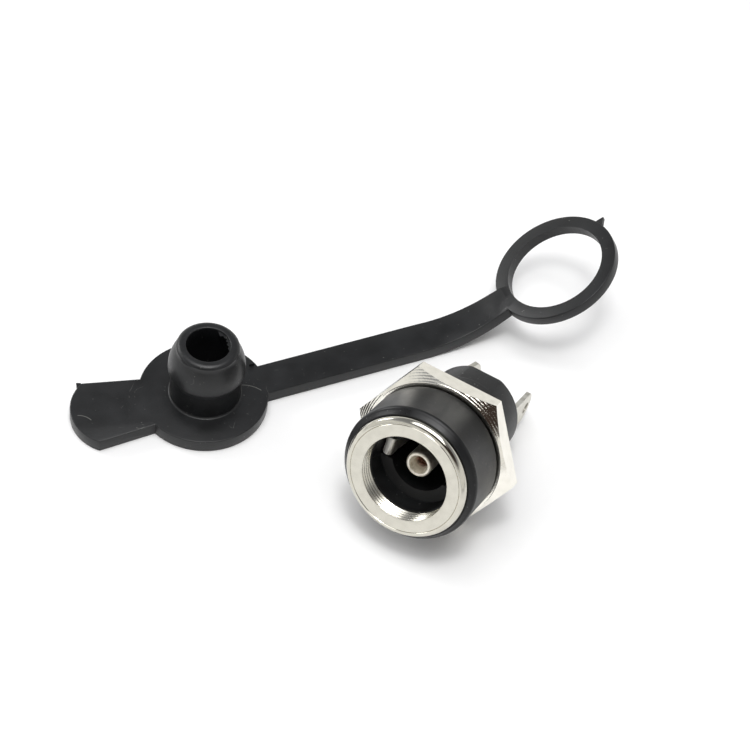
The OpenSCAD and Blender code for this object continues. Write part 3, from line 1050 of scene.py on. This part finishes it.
@dataclass
class DustCap(Piece):
    """Rubber dust cap: disc, hollow plug, pull tab, strap and ring."""

    disc_r: float = 6.25
    thick: float = 1.4
    plug_top: float = 8.22
    lip_r: float = 3.7
    neck_r: float = 3.4
    hollow_r: float = 2.08
    plug_shift: float = 0.15
    tab_len: float = 12.95
    tab_root_w: float = 5.8
    tab_end_w: float = 7.36
    tab_end_r: float = 4.54
    tab_turn: float = -5.3
    strap_w: float = 3.55
    strap_end_w: float = 3.2
    strap_flat: float = 23.37
    bend_top_r: float = 14.1
    rise: float = 30.0
    ring_reach: float = 7.6
    ring_or: float = 6.4
    ring_ir: float = 5.03
    ring_t: float = 1.12
    twist: float = 11.0
    strap_side: float = -0.45
    # how far the tab and the flat strap lie below the disc, so that no faces coincide
    step: float = 0.004
    # heights of the plug's neck and of its widest place, and radii of its dome and crown
    neck_top: float = 4.15
    lip_z: float = 5.15
    dome_r: float = 4.6
    crown: float = 0.6

    def build(self) -> None:
        """Joins the cap's parts into one moulding."""
        cap = self.disc()
        carve(cap, self.tab(), "UNION")
        carve(cap, self.strap(), "UNION")
        carve(cap, self.ring(), "UNION")
        carve(cap, self.plug(), "UNION")
        for burr in self.burrs():
            carve(cap, burr, "UNION")
        bore = rod(self.ring_ir, 6, (0, 0, 0))
        bore.matrix_world = self.ring_place()
        carve(cap, bore)
        self.settle(cap, "black_rubber", ("dust_cap",), 32)

    def burrs(self) -> list:
        """Flash that the mould left: a ragged film in the plug's mouth, and two small nibs.

        Returns:
            The solids to join to the cap.
        """
        ragged = (0.06, 0.22, 0.12, 0.34, 0.16, 0.3, 0.1, 0.26, 0.18, 0.42, 0.3, 0.08)
        spread = [math.radians(-36 + 7 * i) for i in range(len(ragged))]
        rim = [(0.3, angle) for angle in reversed(spread)]
        edge = [(-bite, angle) for bite, angle in zip(ragged, spread)]
        film = [
            (self.plug_shift + (self.hollow_r + r) * math.cos(a), (self.hollow_r + r) * math.sin(a))
            for r, a in edge + rim
        ]
        flash = slab("flash", film, 0.07, self.plug_top - 0.24)
        corner = slab("corner_nib", [(-11.3, 3.9), (-10.5, 4.2), (-10.75, 4.8), (-11.15, 4.95)], 0.6, 0.7)
        root = slab("root_nib", [(5.3, 1.5), (5.8, 1.45), (5.7, 1.95)], 0.4, 1.3)
        return [flash, corner, root]

    def ring_place(self) -> Matrix:
        """Place of the ring's middle in the cap's frame.

        Returns:
            The place.
        """
        rise = math.radians(self.rise)
        return (
            Matrix.Translation(self.bend_point(rise))
            @ Matrix.Rotation(-rise, 4, "Y")
            @ Matrix.Translation((self.ring_reach, 0, 0))
            @ Matrix.Rotation(math.radians(-self.twist), 4, "X")
        )

    def bend_point(self, pitch: float) -> Vector:
        """Middle of the strap's upper side where it has risen by an angle in radians."""
        run = self.strap_flat + self.bend_top_r * math.sin(pitch)
        return Vector((run, self.strap_side, self.thick + self.bend_top_r * (1 - math.cos(pitch))))

    def lengths(self) -> tuple[float, float]:
        """Lengths of the strap's bend and of the straight neck past it."""
        return self.bend_top_r * math.radians(self.rise), self.ring_reach - self.ring_ir - 0.6

    def disc(self) -> Object:
        """Round plate under the plug, with softened rims.

        Returns:
            The disc.
        """
        profile = (
            [(0, 0)]
            + rounded(self.disc_r, 0, 0.12, -90, 3)
            + rounded(self.disc_r, self.thick, 0.1, 0, 4)
            + [(0, self.thick)]
        )
        return lathe("dust_cap_moulded", profile, False)

    def tab(self) -> Object:
        """Pull tab, flared towards its arc end.

        Returns:
            The tab.
        """
        half_root, half_end = self.tab_root_w / 2, self.tab_end_w / 2
        lean = math.degrees(math.asin(half_end / self.tab_end_r))
        end = arc(self.tab_len - self.tab_end_r, 0, self.tab_end_r, -lean, lean, 24)
        # it starts inside the disc, and leaves the disc's rim at its root
        inside, root, taper = 3, 5.5, 0.25
        outline = [(inside, taper - half_root), (root, -half_root)] + end
        outline += [(root, half_root), (inside, half_root - taper)]
        tab = slab("cap_tab", [(-x, y) for x, y in outline], self.thick - self.step)
        tab.rotation_euler = (0, 0, math.radians(self.tab_turn))
        bake(tab)
        soften(tab, 0.1, 3, 30)
        return tab

    def strap_section(self, along: float) -> list:
        """Corners of the strap's section at a length past the start of its bend.

        Args:
            along: the length in millimetres, below nought on the flat run.

        Returns:
            Corners in order: lower right, lower left, upper left, upper right.
        """
        bend, neck = self.lengths()
        share = min(max(along / (bend + neck), 0), 1)
        pitch = math.radians(self.rise) * min(max(along / bend, 0), 1)
        ahead = Vector((math.cos(pitch), 0, math.sin(pitch)))
        above = Vector((-math.sin(pitch), 0, math.cos(pitch)))
        middle = self.bend_point(pitch)
        middle += ahead * (min(along, 0) + max(along - bend, 0))
        roll = math.radians(self.twist) * share
        left = Vector((0, math.cos(roll), 0)) - above * math.sin(roll)
        down = -ahead.cross(left) * (self.thick - 2 * self.step + (self.ring_t - self.thick) * share)
        half = left * (self.strap_w + (self.strap_end_w - self.strap_w) * share) / 2
        middle -= Vector((0, 0, self.step)) if along < 0 else Vector()
        return [middle - half + down, middle + half + down, middle + half, middle - half]

    def strap(self) -> Object:
        """Flat run on the table, then a bend that lifts and twists the end.

        Returns:
            The strap.
        """
        bend, neck = self.lengths()
        places = [4 - self.strap_flat] + [bend * i / 20 for i in range(21)] + [bend + neck]
        strap = loft("cap_strap", [self.strap_section(a) for a in places])
        soften(strap, 0.1, 3, 40)
        return strap

    def ring(self) -> Object:
        """Ring at the strap's end, with the flash nib that its mould left.

        Returns:
            The ring, in its place.
        """
        r, t = self.ring_or, self.ring_t
        profile = rounded(r, -t, 0.12, -90, 3) + rounded(r, 0, 0.1, 0, 3)
        ring = lathe("cap_ring", [(0, -t)] + profile + [(0, 0)], False)
        nib = [(r - 0.7, 1.3), (r - 0.08, 1.55), (r + 0.42, 2.3), (r - 0.3, 2.35), (r - 0.8, 2.2)]
        carve(ring, slab("nib", nib, 0.42, -0.47), "UNION")
        ring.matrix_world = self.ring_place()
        bake(ring)
        return ring

    def plug(self) -> Object:
        """Hollow plug: neck, lip and domed top.

        Returns:
            The plug, in its place.
        """
        top, fillet = self.plug_top, 0.22
        narrowing = math.asin((top - self.crown - self.lip_z) / self.dome_r)
        dome = math.degrees(narrowing)
        crown_x = self.lip_r - self.dome_r + (self.dome_r - self.crown) * math.cos(narrowing)
        profile = (
            [(0, self.thick - 0.3), (self.neck_r + fillet, self.thick - 0.3)]
            + arc(self.neck_r + fillet, self.thick + fillet, fillet, 270, 180, 6)
            + [(self.neck_r, self.neck_top), (self.neck_r + 0.12, self.neck_top + 0.25)]
            + arc(self.lip_r - 0.3, self.lip_z - 0.2, 0.3, -50, 0, 6)
            + arc(self.lip_r - self.dome_r, self.lip_z, self.dome_r, 0, dome, 12)
            + arc(crown_x, top - self.crown, self.crown, dome, 90, 9)
            + arc(self.hollow_r + 0.12, top - 0.12, 0.12, 90, 180, 5)
            + [(self.hollow_r, 2.4), (self.hollow_r - 0.3, 2), (0, 1.9)]
        )
        plug = lathe("cap_plug", profile, False)
        plug.location = (self.plug_shift, 0, 0)
        bake(plug)
        return plug


# -------- the studio


@dataclass
class Studio:
    """Plain pale floor, soft lights and the camera."""

    camera_at: tuple[float, float, float] = (51.049, -118.855, 150.284)
    aim: tuple[float, float, float] = (1.442, -0.222, 0.0)
    roll: float = 9.59
    lens: float = 96.0

    def build(self) -> None:
        """Sets the floor, the lights, the surroundings and the camera."""
        self.floor()
        self.surroundings()
        self.lamp("overhead_softbox", (0, -45, 300), 260, 0.62)
        self.lamp("key_softbox", (27, -63, 290), 60, 0.2)
        self.lamp("left_softbox", (-240, 0, 120), 90, 0.17)
        self.camera()

    def floor(self) -> None:
        """White card that everything lies on."""
        deselect()
        bpy.ops.mesh.primitive_plane_add(size=6, location=(0, 0, 0))
        floor = bpy.context.object
        floor.name = "floor_card"
        material, tree, shader = start_material("White matt card, coated")
        coords = add_node(tree, "ShaderNodeTexCoord")
        fibre = add_node(tree, "ShaderNodeTexNoise", {"Vector": coords.outputs["Object"], "Scale": 900.0})
        tint = colour_ramp(tree, fibre.outputs["Fac"], [(0.3, "#F9F9F9"), (0.7, "#FAFAFA")])
        tree.links.new(tint, shader.inputs["Base Color"])
        shader.inputs["Roughness"].default_value = 0.9
        floor.data.materials.append(material)

    def surroundings(self) -> None:
        """Pale room that the metal reflects: bright low walls, a dim ceiling, and a
        dark patch where the observer stands."""
        world = bpy.data.worlds.new("pale_studio")
        bpy.context.scene.world = world
        world.use_nodes = True
        tree = world.node_tree
        tree.nodes.clear()
        way = add_node(tree, "ShaderNodeTexCoord").outputs["Generated"]
        shades = [(0.0, "#F6F5F2"), (0.42, "#F0F0EE"), (0.58, "#A2A3A6"), (0.8, "#8E8F92")]
        walls = colour_ramp(tree, split(tree, way)["Z"], shades)
        observer = (Vector(self.camera_at) - Vector(self.aim)).normalized()
        facing = add_node(tree, "ShaderNodeVectorMath", {0: way, 1: observer}, operation="DOT_PRODUCT")
        patch = colour_ramp(tree, facing.outputs["Value"], [(0.80, "#000000"), (0.90, "#FFFFFF")])
        room = blend(tree, patch, walls, linear("#3A302B"))
        back = add_node(tree, "ShaderNodeBackground", {"Color": room, "Strength": 1.0})
        add_node(tree, "ShaderNodeOutputWorld", {"Surface": back.outputs[0]})

    def lamp(self, name: str, spot: tuple, size: float, power: float) -> None:
        """Adds a soft square light that faces the middle of the floor.

        Args:
            name: its name.
            spot: its place in millimetres.
            size: its side in millimetres.
            power: its power in watts.
        """
        deselect()
        bpy.ops.object.light_add(type="AREA", location=Vector(spot) * MM)
        lamp = bpy.context.object
        lamp.name = name
        lamp.data.size = size * MM
        lamp.data.energy = power
        lamp.rotation_euler = (-Vector(spot)).to_track_quat("-Z", "Y").to_euler()

    def camera(self) -> None:
        """Camera, rolled a little about its own line of sight."""
        deselect()
        bpy.ops.object.camera_add(location=Vector(self.camera_at) * MM)
        camera = bpy.context.object
        camera.name = "camera"
        look = (Vector(self.aim) - Vector(self.camera_at)).to_track_quat("-Z", "Y").to_matrix()
        camera.rotation_euler = (look @ Matrix.Rotation(math.radians(self.roll), 3, "Z")).to_euler()
        camera.data.lens = self.lens
        camera.data.sensor_width = 36.0
        camera.data.clip_start = 0.005
        camera.data.clip_end = 20.0
        bpy.context.scene.camera = camera
        bpy.context.scene.view_settings.view_transform = "Standard"


def main() -> None:
    """Builds the jack, its cap and the studio."""
    logging.basicConfig(level=logging.INFO, format="%(name)s: %(message)s")
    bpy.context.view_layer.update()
    layout = Layout()
    jack, cap = layout.jack_frame(), layout.cap_frame()

    ring_nickel = TurnedNickel("Nickel-plated brass, turned", jack).build()
    nut_nickel = TurnedNickel(
        "Nickel-plated steel, turned and milled", jack, base="#F2EFE6", low="#E8E5DB",
        roughness=0.09, feed=0.36, relief=0.55, turned_to=2.24,
    ).build()
    tin = StampedTin("Tin-plated bronze strip, stamped", jack).build()
    pin_plate = PlatedPin("Nickel-plated brass pin, turned and drilled", jack).build()
    nylon = BlackMoulding("Black glass-filled nylon, injection moulded", jack).build()
    rubber = BlackRubber("Black vinyl rubber, compression moulded", cap).build()

    Studio().build()
    Housing(jack, nylon).build()
    FaceRing(jack, ring_nickel).build()
    HexNut(jack, nut_nickel).build()
    CentrePin(jack, pin_plate).build()
    PinLug(jack, tin).build()
    for side in Side:
        SideContact(jack, tin, side).build()
    DustCap(cap, rubber).build()


if __name__ == "__main__":
    main()
